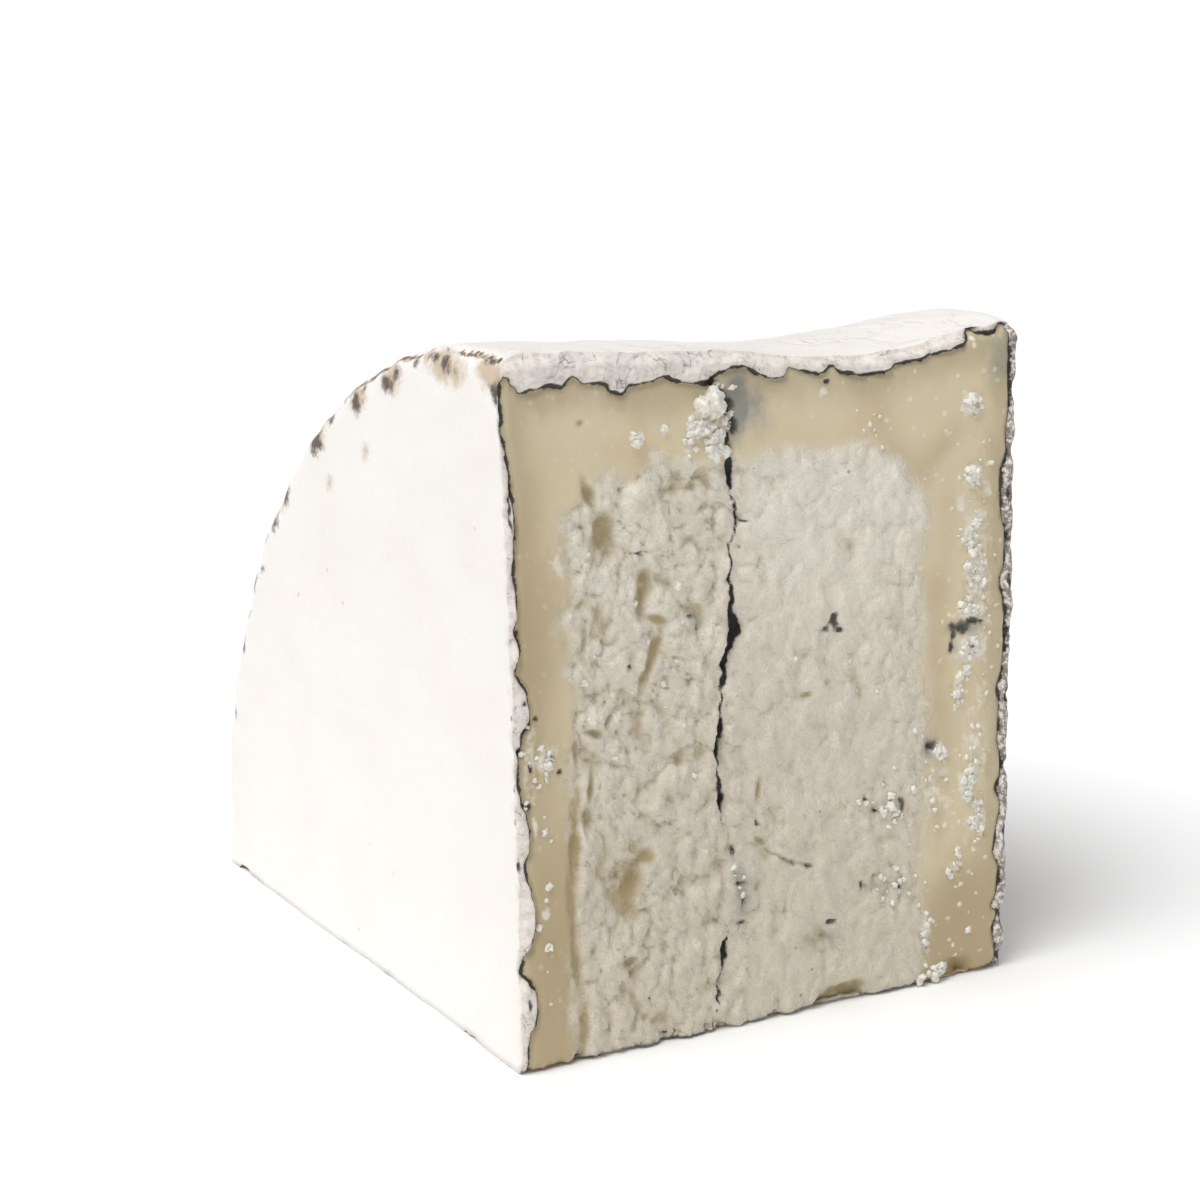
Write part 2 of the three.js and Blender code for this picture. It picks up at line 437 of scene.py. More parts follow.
# ================================================================ the cut faces
class CutFace:
    """One of the two cuts: what the knife laid open, and how the curd broke."""

    def __init__(self, seed, ripple, tear_outs, cracks, ash_spots, dust, loose, smears, ripe):
        self.seed = seed
        self.ripple = ripple
        self.tear_outs = tear_outs
        self.cracks = cracks
        self.ash_spots = ash_spots
        self.dust = dust
        self.loose = loose
        self.smears = smears
        self.ripe = ripe

    def wander(self, size, across, out, layer=0):
        return wander(size, across, out, self.seed + 17 * layer * size)

    def rind_depth(self, across, out, from_left):
        """How far into the paste a place is from the ash under the rind. It is below 0 in the rind."""
        ripple = 0.6 * self.wander(3.6, across, out, 1) + 0.35 * self.wander(1.3, across, out, 2)
        left = off_path(LEFT_ASH, out, from_left)
        right = off_path(RIGHT_ASH, out, WIDTH - from_left)
        rim = -off_path(RIM_ASH, across, out)
        return min(left, right, rim) + self.ripple * ripple

    def core_depth(self, across, out):
        """How far inside the crumbly core a place is. It is below 0 in the ripe layer."""
        middle = (CORE_LEFT + CORE_RIGHT) / 2
        side = abs(across - middle) - (CORE_RIGHT - CORE_LEFT) / 2 + CORE_CORNER
        up = out - CORE_TOP + CORE_CORNER
        outside = math.hypot(max(side, 0), max(up, 0)) + min(max(side, up), 0)
        torn = 1 - smooth(14, 30, across)
        edge = 1.4 * self.wander(10, across, out, 3) + (0.5 + torn) * self.wander(3.4, across, out, 4)
        return CORE_CORNER - outside + edge

    def seam(self, across, out):
        """How far a place is from the ash seam, in the seam's half widths, and in millimetres."""
        across += 0.25 * self.wander(3.5, 0, out, 5) + 0.3 * self.wander(1.3, across, out, 6)
        nearest, wide = 99.0, 1.0
        for start, end in zip(SEAM, SEAM[1:]):
            if not end[1] - 6 < out < start[1] + 6:
                continue
            distance, part = to_segment(across, out, start, end)
            half = start[2] + (end[2] - start[2]) * part
            if distance - half < nearest:
                nearest, wide = distance - half, half
        return nearest, wide

    def crumbliness(self, across, out):
        """How broken the curd is: most on the left of the seam, and patchy on its right."""
        patch = 0.5 + 0.5 * self.wander(13, across, out, 7)
        left = 1 - smooth(31, 37, across)
        loose = covered(self.loose, across, out)
        return 0.56 + 0.36 * left + 0.25 * patch * (left + 0.5) + 0.6 * loose

    def plates(self, across, out, wide, long, layer):
        """Torn plates of curd, each at its own level and lean, with cracks between: -1 to about 1."""
        bend = 0.55 * self.wander(2.2 * wide, across, out, layer)
        sway = 0.4 * self.wander(2.0 * wide, across, out, layer + 1)
        place = Vector((across / wide + bend, out / long + sway, self.seed + layer))
        near, points = noise.voronoi(place)
        own = points[0] * 9.7
        lean = place - points[0]
        level = noise.cell(own) + 0.9 * (lean.x * noise.cell(own.yzx) + lean.y * noise.cell(own.zxy))
        crack = 1 - smooth(0.0, 0.3, near[1] - near[0])
        return 0.62 * level - 0.6 * crack

    def lumps(self, across, out, wide, long, layer):
        """Round lumps of curd with creases between them: about -0.5 to 0.5."""
        bend = 0.5 * self.wander(1.6 * wide, across, out, layer)
        sway = 0.5 * self.wander(1.6 * wide, across, out, layer + 1)
        near = noise.voronoi(Vector((across / wide + bend, out / long + sway, self.seed + layer)))[0]
        return 0.5 - 1.7 * near[0] ** 2

    def curd(self, across, out):
        """Height of the broken curd."""
        broken = self.crumbliness(across, out)
        slabs = self.plates(across, out, 4.0, 6.5, 26) * (1 - smooth(28, 38, across))
        large = self.lumps(across + 0.2 * out, out, 2.7, 4.0, 8)
        small = self.lumps(across, out, 1.6, 2.1, 11)
        shards = self.plates(across - 0.2 * out, out, 1.9, 2.7, 35)
        chips = self.plates(across, out, 0.9, 1.1, 33)
        swell = self.wander(11, across, out, 14)
        drag = self.wander(2.4, across + 0.5 * out, 0.35 * (out - across), 15)
        crumbly = 0.3 * slabs + 0.68 * large + 0.38 * small + 0.3 * shards + 0.08 * chips
        return broken * crumbly + 0.2 * swell + 0.24 * drag

    def hollow(self, across, out):
        """How much of a place is torn out or cracked open, from 0 to 1, and how deep it is."""
        shift = 0.8 * self.wander(3.0, across, out, 18) + 0.35 * self.wander(1.6, across, out, 25)
        share, depth = 0.0, 0.0
        for mid_across, mid_out, half_width, half_length, lean, deep in self.tear_outs:
            if abs(across - mid_across) > 9 or abs(out - mid_out) > 9:
                continue
            away = oval(across - mid_across, out - mid_out, half_width, half_length, lean) + 0.5 * shift
            inside = 1 - smooth(0.15, 1.5, away)
            share, depth = max(share, inside), max(depth, inside * deep)
        for points, half in self.cracks:
            if not min(points[0][1], points[-1][1]) - 3 < out < max(points[0][1], points[-1][1]) + 3:
                continue
            away = min(to_segment(across + 1.1 * shift, out, *pair)[0] for pair in zip(points, points[1:]))
            broken = 0.45 + 0.9 * self.wander(2.2, across, out, 27)
            inside = (1 - smooth(0.3 * half, 2.2 * half, away)) * min(max(broken, 0.0), 1.0)
            share, depth = max(share, 0.75 * inside), max(depth, 0.6 * inside)
        return share, depth

    def spot(self, across, out):
        """How black a place is from a spot of ash."""
        ragged = 0.45 * self.wander(1.0, across, out, 19)
        most = 0.0
        for mid_across, mid_out, half_width, half_length in self.ash_spots:
            if abs(across - mid_across) < 4 and abs(out - mid_out) < 4:
                away = oval(across - mid_across, out - mid_out, half_width, half_length) + ragged
                most = max(most, 1 - smooth(0.3, 1.6, away))
        return most

    def surface(self, across, out, from_left):
        """The height of the cut above its plane, and what the finish needs to know about the place."""
        rind = self.rind_depth(across, out, from_left)
        core = self.core_depth(across, out)
        seam, seam_half = self.seam(across, out)
        torn, torn_depth = self.hollow(across, out)
        spot = self.spot(across, out)
        in_core = smooth(-0.8, 1.6, core) * smooth(0.4, 2.0, rind)
        in_rind = 1 - smooth(-0.7, -0.1, rind)
        smear = covered(self.smears, across, out) * smooth(0.0, 0.8, rind)
        curd = self.curd(across, out)
        cream = 0.22 * self.wander(15, across, out, 20) + 0.07 * self.wander(5, across, out, 21)
        fold = 0.5 + 0.4 * self.wander(2.8, across, out, 22) + 0.22 * self.wander(1.1, across, out, 23)
        curd *= 1 - 0.6 * torn
        ripe_out = out + 12 * self.wander(14, across, out, 31)
        height = cream + in_core * (curd - cream) + in_rind * fold
        height += smear * (1 - in_core) * (0.35 + 0.5 * self.plates(across, out, 1.2, 1.3, 30))
        height -= 0.5 * math.exp(-((rind - 0.05) / 0.5) ** 2)
        height -= 0.3 * math.exp(-(core / 0.9) ** 2) * (1 - smooth(14, 22, across))
        height -= torn_depth * (1 + 0.3 * self.wander(2, across, out, 24))
        height -= 0.9 * (1 - smooth(-0.25, 0.7, seam)) * smooth(0.1, 0.3, seam_half)
        height -= 0.45 * spot
        marks = {
            "rind_depth": rind,
            "core_depth": core,
            "seam_gap": seam,
            # torn also drives the tan painted shade of the hollows in the finish
            "torn": torn,
            "ash_spot": spot,
            "ash_dust": covered(self.dust, across, out),
            "relief": curd * in_core,
            "smear": smear,
            # ripe: darkening of the ripe layer, painted shade along the left of the cut
            "ripe": covered(self.ripe, across + 8 * cream, ripe_out),
        }
        return height, marks


def scattered_marks(seed):
    """Tear-outs, cracks, spots and dust for the lower cut, which breaks in the same way as the front one."""
    draw = random.Random(seed)
    tear_outs, spots, dust = [], [], []
    for _ in range(9):
        place = (draw.uniform(12, 30), draw.uniform(8, 74))
        tear_outs.append((*place, draw.uniform(0.8, 2.4), draw.uniform(2, 5), draw.uniform(-20, 20), 0.9))
    for _ in range(12):
        place = (draw.uniform(12, 70), draw.uniform(8, 80))
        spots.append((*place, draw.uniform(0.4, 1.2), draw.uniform(0.4, 1.2)))
    for across, out, half_width, half_length in spots[:6]:
        dust.append((across, out, 2.5 * half_width, 2.5 * half_length, 0.5))
    cracks = [([(9.0, 60), (9.8, 40), (8.6, 20), (9.2, 0)], 0.5)]
    return tear_outs, cracks, spots, dust, LOOSE, SMEARS, RIPE_AND_SHADE


FRONT_CUT = CutFace(3.0, 0.25, TEAR_OUTS, CRACKS, ASH_SPOTS, DUST, LOOSE, SEAM_SMEARS + SMEARS, RIPE_AND_SHADE)
LOWER_CUT = CutFace(61.0, 0.9, *scattered_marks(7))


# ================================================================ the rind
def skin(across, out, turn):
    """Swell and folds of the rind at a place on the wheel's outside."""
    place = wheel_to_space(across, out, turn)
    return 0.3 * wander(16, *place) + 0.1 * wander(5, *place)


def rim_skin(across, turn):
    """How far the rim stands out from a plain cylinder."""
    waist = math.exp(-(((across - 48) / 23) ** 2))
    flare = smooth(62, 77, across)
    place = wheel_to_space(across, RADIUS, turn)
    folds = 0.35 - 1.1 * abs(noise.noise(Vector(place) / 8))
    hump = math.exp(-(((across - 62) / 13) ** 2) - ((math.degrees(turn) - 76) / 7) ** 2)
    dip = math.exp(-(((across - 57) / 15) ** 2)) + 0.5 * math.exp(-(((across - 17) / 14) ** 2))
    dip *= smooth(80, 88, math.degrees(turn))
    shape = RIM_FLARE * flare - RIM_WAIST * waist - RIM_DIP * dip + 1.2 * hump
    return shape + 0.45 * folds + skin(across, RADIUS, turn)


def edge_skin(across, out, turn):
    """The ragged flare where a flat face meets the rim."""
    place = wheel_to_space(across, out, turn)
    near = smooth(RADIUS - 7, RADIUS - 1, out)
    return near * (0.26 * wander(6, *place) + 0.12 * wander(3, *place))


def side_skin(across, out, turn):
    """How far a flat face stands out from its plane: it is dished, and a little uneven."""
    dish = FACE_DISH * math.cos(out / RADIUS * math.pi / 2)
    return skin(across, out, turn) + edge_skin(across, out, turn) - dish


def edge_place(across, out, turn):
    """How far along a round edge a place is, and how far in from the edge. On the rim that is below 0."""
    if across < WIDTH / 2:
        return RADIUS * turn, RADIUS - out - across
    return RADIUS * (CUT_ANGLE - turn), RADIUS - out - (WIDTH - across)


# ================================================================ bending the block into the wedge
def wheel_to_space(across, out, turn):
    """A place on the wheel in millimetres from the middle of the wedge's foot."""
    return across - WIDTH / 2, out * math.cos(turn) - RADIUS / 2, out * math.sin(turn)


def spread(part, crowding):
    """Crowds the even steps of a side towards both of its ends."""
    return part - crowding * math.sin(2 * math.pi * part) / (2 * math.pi)


def block_to_wheel(corner):
    """Where a point of the unit block lies on the wheel: across, out and turn."""
    across = WIDTH * spread(corner.x, SIDE_CROWDING)
    reach = max(corner.y, corner.z)
    out = RADIUS * (reach + RIM_CROWDING * math.sin(math.pi * reach) / math.pi)
    if reach < TINY:
        return across, 0.0, CUT_ANGLE / 2
    if corner.y >= corner.z:
        return across, out, CUT_ANGLE / 2 * corner.z / corner.y
    return across, out, CUT_ANGLE * (1 - 0.5 * corner.y / corner.z)


def round_edge(across, out):
    """Moves a place near the wheel's square edge in, so that the edge is round."""
    inner_across = min(max(across, EDGE_ROUND), WIDTH - EDGE_ROUND)
    inner_out = min(out, RADIUS - EDGE_ROUND)
    side, up = across - inner_across, out - inner_out
    if side == 0 or up <= 0:
        return across, out
    shrink = max(abs(side), up) / math.hypot(side, up)
    return inner_across + side * shrink, inner_out + up * shrink


def bend_with_skin(across, out, turn):
    """Pushes a place out or in with the rind that it lies under."""
    from_rim = 1 - smooth(0, SKIN_REACH, RADIUS - out)
    from_left = 1 - smooth(0, SKIN_REACH, across)
    from_right = 1 - smooth(0, SKIN_REACH, WIDTH - across)
    new_out, new_across = out, across
    if from_rim > 0:
        edge = edge_skin(across, out, turn) * max(from_left, from_right)
        new_out += from_rim * (rim_skin(across, turn) + edge)
    if from_left > 0:
        new_across -= from_left * side_skin(0, out, turn)
    if from_right > 0:
        new_across += from_right * side_skin(WIDTH, out, turn)
    return new_across, new_out


def lean(across, out, turn):
    """How far out a place ends up when the rim drops from its left edge to its right one."""
    slope = RIM_LEAN / RADIUS * smooth(math.radians(20), math.radians(75), turn)
    return out * (1 - slope * across / WIDTH)


def blunt_edge(across, out):
    """How far a cut is worn back where it meets the rim and the flat faces."""
    from_side = min(across, WIDTH - across)
    return 1.2 * (1 - smooth(0, 2.4, RADIUS - out)) ** 2 + 0.4 * (1 - smooth(0, 1.2, from_side))


def apex_wear(across):
    """How far the thin edge where the two cuts meet has crumbled away."""
    return 0.45 + 0.5 * abs(wander(3.2, across, 11, 5)) + 0.25 * wander(1.3, across, 4, 9)


def crumble_apex(across, out):
    wear = apex_wear(across)
    return wear * (1 - smooth(0, 1.5 * wear + 0.8, out))


def place_vertex(corner):
    """The finished place of a point of the block, and its marks."""
    across, out, turn = block_to_wheel(corner)
    along, inset = edge_place(across, out, turn)
    marks = {"edge_along": along, "edge_inset": inset}
    from_left, blunt = across, blunt_edge(across, out)
    across, out = round_edge(across, out)
    across, out = bend_with_skin(across, out, turn)
    height = {}
    for cut, face in ((corner.y, FRONT_CUT), (corner.z, LOWER_CUT)):
        if cut < TINY:
            height[face], cut_marks = face.surface(across, out, from_left)
            height[face] -= crumble_apex(across, out) + blunt
            marks.update(cut_marks)
    place = Vector(wheel_to_space(across, lean(across, out, turn), turn))
    if FRONT_CUT in height:
        place += height[FRONT_CUT] * Vector((0, -math.sin(CUT_ANGLE), math.cos(CUT_ANGLE)))
    if LOWER_CUT in height:
        place.z -= height[LOWER_CUT]
    place.z = max(place.z, 0.0)
    return place * MM, marks


# ================================================================ the wedge's mesh
def subdivide_side(bm, axis, cuts, keep_off=None):
    """Refines the face of the block where one of its coordinates is 0."""
    def on(edge, which):
        return all(vert.co[which] < TINY for vert in edge.verts)

    edges = [e for e in bm.edges if on(e, axis) and not (keep_off is not None and on(e, keep_off))]
    bmesh.ops.subdivide_edges(bm, edges=edges, cuts=cuts, use_grid_fill=True)


def fine_block():
    """A unit cube in small squares. X runs across the wheel, and Y and Z out along the two cuts."""
    bm = bmesh.new()
    bmesh.ops.create_cube(bm, size=1, matrix=Matrix.Translation((0.5, 0.5, 0.5)))
    for axis, cells in enumerate((CELLS_ACROSS, CELLS_OUT, CELLS_OUT)):
        along = [e for e in bm.edges if abs(e.verts[0].co[axis] - e.verts[1].co[axis]) > 0.5]
        bmesh.ops.subdivide_edges(bm, edges=along, cuts=cells - 1, use_grid_fill=True)
    subdivide_side(bm, 2, LOWER_CUTS, keep_off=1)
    subdivide_side(bm, 1, FRONT_CUTS)
    return bm


MARKS = (
    "rind_depth", "core_depth", "seam_gap", "torn", "ash_spot", "ash_dust", "relief", "smear", "ripe",
    "edge_along", "edge_inset",
)


def make_wedge(rind, paste):
    bm = fine_block()
    layers = {name: bm.verts.layers.float.new(name) for name in MARKS}
    for face in bm.faces:
        on_cut = any(all(vert.co[axis] < TINY for vert in face.verts) for axis in (1, 2))
        face.material_index = 1 if on_cut else 0
        face.smooth = True
    for vert in bm.verts:
        vert.co, marks = place_vertex(vert.co.copy())
        for name, value in marks.items():
            vert[layers[name]] = value
    bmesh.ops.recalc_face_normals(bm, faces=bm.faces)
    return as_piece(bm, "wedge", rind, paste)


def as_piece(bm, name, *materials):
    mesh = bpy.data.meshes.new(name)
    bm.to_mesh(mesh)
    bm.free()
    for material in materials:
        mesh.materials.append(material)
    piece = bpy.data.objects.new(name, mesh)
    bpy.context.scene.collection.objects.link(piece)
    return piece


# ================================================================ crumbs
# Crumbs on the front cut: (across, out, spread across, spread out, how many, smallest and largest radius,
# the share that ash has greyed)
CRUMB_GROUPS = [
    (30.4, 86.4, 1.4, 1.7, 9, 0.9, 1.7, 0),
    (31.0, 82.2, 1.1, 1.9, 9, 0.8, 1.6, 0),
    (28.3, 84.0, 1.0, 1.4, 6, 0.6, 1.2, 0),
    (31.6, 85.0, 1.6, 3.6, 12, 0.3, 0.7, 0),
    (27.3, 81.4, 0.7, 1.2, 6, 0.3, 0.7, 0),
    (33.4, 85.0, 0.8, 2.8, 12, 0.3, 0.6, 0.3),
    (19.5, 83.0, 1.0, 0.5, 6, 0.5, 0.9, 0),
    (24.0, 83.8, 0.6, 0.5, 4, 0.3, 0.6, 0),
    (57.0, 82.5, 4.0, 3.5, 9, 0.2, 0.4, 0),
    (71.6, 84.0, 0.8, 1.0, 5, 0.8, 1.4, 0),
    (71.8, 83.6, 1.2, 1.6, 6, 0.3, 0.6, 0),
    (71.8, 73.8, 0.8, 1.2, 4, 0.7, 1.2, 0),
    (71.6, 73.0, 1.2, 2.0, 6, 0.3, 0.6, 0),
    (71.4, 66.0, 1.4, 3.0, 12, 0.3, 0.8, 0),
    (72.2, 58.5, 1.5, 2.6, 14, 0.3, 0.8, 0),
    (71.6, 54.6, 1.8, 0.9, 10, 0.3, 0.7, 0),
    (71.6, 48.8, 1.8, 1.8, 14, 0.3, 0.8, 0.1),
    (70.0, 43.0, 1.6, 3.0, 12, 0.25, 0.7, 0),
    (66.4, 34.8, 0.9, 0.8, 8, 0.4, 0.8, 0),
    (71.6, 28.5, 1.2, 2.4, 12, 0.3, 0.9, 0),
    (73.2, 23.0, 0.8, 2.6, 8, 0.3, 0.7, 0),
    (69.6, 17.0, 1.6, 1.4, 8, 0.25, 0.7, 0),
    (64.6, 8.0, 0.8, 4.0, 14, 0.25, 0.6, 0),
    (65.5, 1.6, 3.2, 0.7, 15, 0.5, 1.1, 0),
    (58.0, 27.5, 3.6, 2.6, 20, 0.25, 0.7, 0.1),
    (59.0, 15.5, 4.0, 2.6, 18, 0.25, 0.6, 0.1),
    (5.6, 42.2, 1.4, 1.6, 10, 0.35, 0.9, 0.1),
    (5.5, 22.0, 1.3, 14.0, 10, 0.25, 0.6, 0),
    (72.6, 60.0, 2.4, 16.0, 44, 0.2, 0.5, 0),
    (72.6, 30.0, 2.2, 13.0, 34, 0.2, 0.5, 0),
    (66.0, 30.0, 2.6, 7.0, 16, 0.2, 0.5, 0),
    (3.6, 40.0, 1.6, 6.0, 12, 0.2, 0.5, 0.1),
    (22.0, 45.0, 8.0, 24.0, 18, 0.25, 0.6, 0),
    (34.6, 20.0, 1.6, 5.0, 8, 0.25, 0.5, 0.4),
    (50.0, 40.0, 11.0, 28.0, 8, 0.2, 0.4, 0),
]


CRUMB_SINK = 0.2  # how deep a crumb sits in the cut, and how far its lumps reach from its middle, in radii
CRUMB_REACH = 1.3
FINE_CRUMB = 0.5  # crumbs of at least this radius have a finer mesh
CRUMB_OUTS = (1.2, 89)  # how far out crumbs lie


def add_crumb(bm, draw, middle, radius):
    """One crumb of curd: a small round lump, squashed, turned and dented."""
    squash = Matrix.Diagonal((*(draw.uniform(0.7, 1.15) for _ in range(3)), 1))
    turned = Euler([draw.uniform(0, math.tau) for _ in range(3)]).to_matrix().to_4x4()
    fineness = 2 if radius < FINE_CRUMB * MM else 3
    lump = bmesh.ops.create_icosphere(bm, subdivisions=fineness, radius=1)["verts"]
    seed = Vector([draw.uniform(0, 50) for _ in range(3)])
    for vert in lump:
        vert.co *= 1 + 0.6 * noise.noise(vert.co * 1.3 + seed) + 0.5 * noise.noise(vert.co * 2.9 + seed)
    place = Matrix.Translation(middle) @ turned @ squash @ Matrix.Scale(radius, 4)
    bmesh.ops.transform(bm, verts=lump, matrix=place)
    return lump


def make_crumbs(curd, ashy_curd):
    draw = random.Random(4)
    bm = bmesh.new()
    outward = Vector((0, -math.sin(CUT_ANGLE), math.cos(CUT_ANGLE)))
    for mid_across, mid_out, spread_across, spread_out, count, small, large, ashy in CRUMB_GROUPS:
        for _ in range(count):
            across = draw.gauss(mid_across, 0.6 * spread_across)
            out = min(max(draw.gauss(mid_out, 0.6 * spread_out), CRUMB_OUTS[0]), CRUMB_OUTS[1])
            radius = small + (large - small) * draw.random() ** 2
            height = FRONT_CUT.surface(across, out, across)[0]
            leant = lean(across, out, CUT_ANGLE)
            middle = Vector(wheel_to_space(across, leant, CUT_ANGLE))
            middle += outward * (height - CRUMB_SINK * radius)
            middle.z = max(middle.z, CRUMB_REACH * radius)
            lump = add_crumb(bm, draw, middle * MM, radius * MM)
            grey = draw.random() < ashy
            for face in {face for vert in lump for face in vert.link_faces}:
                face.material_index = int(grey)
                face.smooth = True
    return as_piece(bm, "crumbs", curd, ashy_curd)


# ================================================================ finishes
def colour(red, green, blue):
    """A colour given in screen values from 0 to 255, as the shader takes it."""
    def linear(level):
        level /= 255
        return level / 12.92 if level <= 0.04045 else ((level + 0.055) / 1.055) ** 2.4

    return linear(red), linear(green), linear(blue), 1.0


class Wire:
    """A node's output. Sums written with it add Math nodes."""

    def __init__(self, finish, socket):
        self.finish = finish
        self.socket = socket

    def math(self, operation, *values):
        return self.finish.add("ShaderNodeMath", {"operation": operation}, dict(enumerate(values)))

    def __add__(self, other):
        return self.math("ADD", self, other)

    def __radd__(self, other):
        return self.math("ADD", other, self)

    def __sub__(self, other):
        return self.math("SUBTRACT", self, other)

    def __rsub__(self, other):
        return self.math("SUBTRACT", other, self)

    def __mul__(self, other):
        return self.math("MULTIPLY", self, other)

    def __rmul__(self, other):
        return self.math("MULTIPLY", other, self)

    def __abs__(self):
        return self.math("ABSOLUTE", self)

    def at_most(self, other):
        return self.math("MINIMUM", self, other)

    def at_least(self, other):
        return self.math("MAXIMUM", self, other)


class Finish:
    """A material in the making."""

    def __init__(self, name):
        self.material = bpy.data.materials.new(name)
        self.material.use_nodes = True
        self.tree = self.material.node_tree
        self.tree.nodes.clear()
        self.place = self.add("ShaderNodeTexCoord", output="Object")

    def add(self, kind, settings=None, inputs=None, output=0):
        """Adds a node: first its settings, then its inputs, each a value or a wire."""
        node = self.tree.nodes.new(kind)
        for name, value in (settings or {}).items():
            setattr(node, name, value)
        for name, value in (inputs or {}).items():
            if isinstance(value, Wire):
                self.tree.links.new(value.socket, node.inputs[name])
            else:
                node.inputs[name].default_value = value
        return Wire(self, node.outputs[output])

    def mark(self, name):
        return self.add("ShaderNodeAttribute", {"attribute_name": name}, output="Fac")

    def place_in(self, size, shift):
        """The place on the piece in units of the given size in millimetres, moved by a shift."""
        inputs = {"Vector": self.place, "Scale": (1 / (size * MM),) * 3, "Location": (shift,) * 3}
        return self.add("ShaderNodeMapping", {}, inputs)

    def noise(self, size, detail=2.0, roughness=0.5, shift=0.0):
        """Noise from 0 to 1 whose swells are about the given size in millimetres."""
        place = self.place_in(size, shift)
        inputs = {"Vector": place, "Scale": 1.0, "Detail": detail, "Roughness": roughness}
        return self.add("ShaderNodeTexNoise", {}, inputs)

    def cells(self, size, shift=0.0):
        """Distance to the nearest of scattered points about the given size apart, in that size."""
        inputs = {"Vector": self.place_in(size, shift), "Scale": 1.0}
        return self.add("ShaderNodeTexVoronoi", {}, inputs, output="Distance")

    def along_axis(self, axis):
        """The place on the piece along one axis, in metres."""
        return self.add("ShaderNodeSeparateXYZ", {}, {"Vector": self.place}, output=axis)

    def step(self, value, low, high):
        """0 up to low, 1 from high, and a soft step between them. High may be below low."""
        settings = {"interpolation_type": "SMOOTHSTEP"}
        inputs = {"Value": value, "From Min": low, "From Max": high}
        if high < low:
            inputs = {"Value": value, "From Min": high, "From Max": low, "To Min": 1.0, "To Max": 0.0}
        return self.add("ShaderNodeMapRange", settings, inputs)

    def mix(self, share, first, second):
        """A colour between two others."""
        settings = {"data_type": "RGBA", "clamp_factor": True}
        return self.add("ShaderNodeMix", settings, {0: share, 6: first, 7: second}, output=2)

    def from_spots(self, place, spots):
        """How far a place is outside the nearest of some round spots, each given as (x, y, radius)."""
        nearest = 99.0
        for x, y, radius in spots:
            ends = {0: place, 1: (x, y, 0)}
            away = self.add("ShaderNodeVectorMath", {"operation": "DISTANCE"}, ends, output="Value")
            nearest = (away - radius).at_most(nearest)
        return nearest

    def bump(self, height):
        """A normal from a height in millimetres."""
        return self.add("ShaderNodeBump", {}, {"Strength": 1.0, "Distance": MM, "Height": height})

    def done(self, base, roughness, normal, constants):
        inputs = {"Base Color": base, "Roughness": roughness, "Normal": normal, **constants}
        shader = self.add("ShaderNodeBsdfPrincipled", {}, inputs)
        self.add_output(shader)
        return self.material

    def add_output(self, shader):
        node = self.tree.nodes.new("ShaderNodeOutputMaterial")
        self.tree.links.new(shader.socket, node.inputs["Surface"])


RIND_WHITE = colour(245, 242, 237)
RIND_SHADE = colour(241, 233, 225)
RIND_CREAM = colour(238, 227, 205)
# painted shade for the rind's creases
RIND_CREASE_SHADE = colour(222, 212, 200)
RIND_CUT = colour(236, 229, 222)
RIND_CUT_GREY = colour(214, 206, 199)
WORN_TAN = colour(196, 170, 138)
WORN_ASH = colour(62, 49, 38)
ASH_BLACK = colour(34, 31, 29)
ASH_BLUE = colour(112, 117, 122)
CREAM = colour(221, 207, 174)
CREAM_RIPE = colour(187, 168, 131)
CREAM_PALE = colour(226, 214, 187)
CREAM_GREY = colour(178, 172, 150)
CREAM_WARM = colour(215, 189, 150)
CORE = colour(228, 219, 202)
# painted shade for the lower part of the core
CORE_LOW_SHADE = colour(217, 208, 189)
CORE_WHITE = colour(240, 234, 221)
CRUMB_WHITE = colour(247, 243, 231)
# painted shade in low places of the curd, tinted tan
CORE_HOLLOW_SHADE = colour(194, 177, 144)
# tan of the exposed paste with the painted shade of tear-outs and cracks
TORN_TAN_SHADE = colour(174, 156, 115)
FLOOR_WHITE = colour(252, 252, 252)
FLOOR_SHADE = colour(251, 251, 251)

SPOT_STRETCH = 1.5  # how much longer a worn spot is along the edge than across it

SOFT_LIGHT = {"Subsurface Weight": 0.2, "Subsurface Radius": (1.0, 0.75, 0.5), "Subsurface Scale": 0.0012}
VELVET = {**SOFT_LIGHT, "Sheen Weight": 0.15, "Sheen Roughness": 0.6}


def on_edge(spots):
    """Spots given by their degrees round the wheel, in the flattened millimetres of the rind's finish."""
    return [(RADIUS * math.radians(turn) / SPOT_STRETCH, inset, radius) for turn, inset, radius in spots]


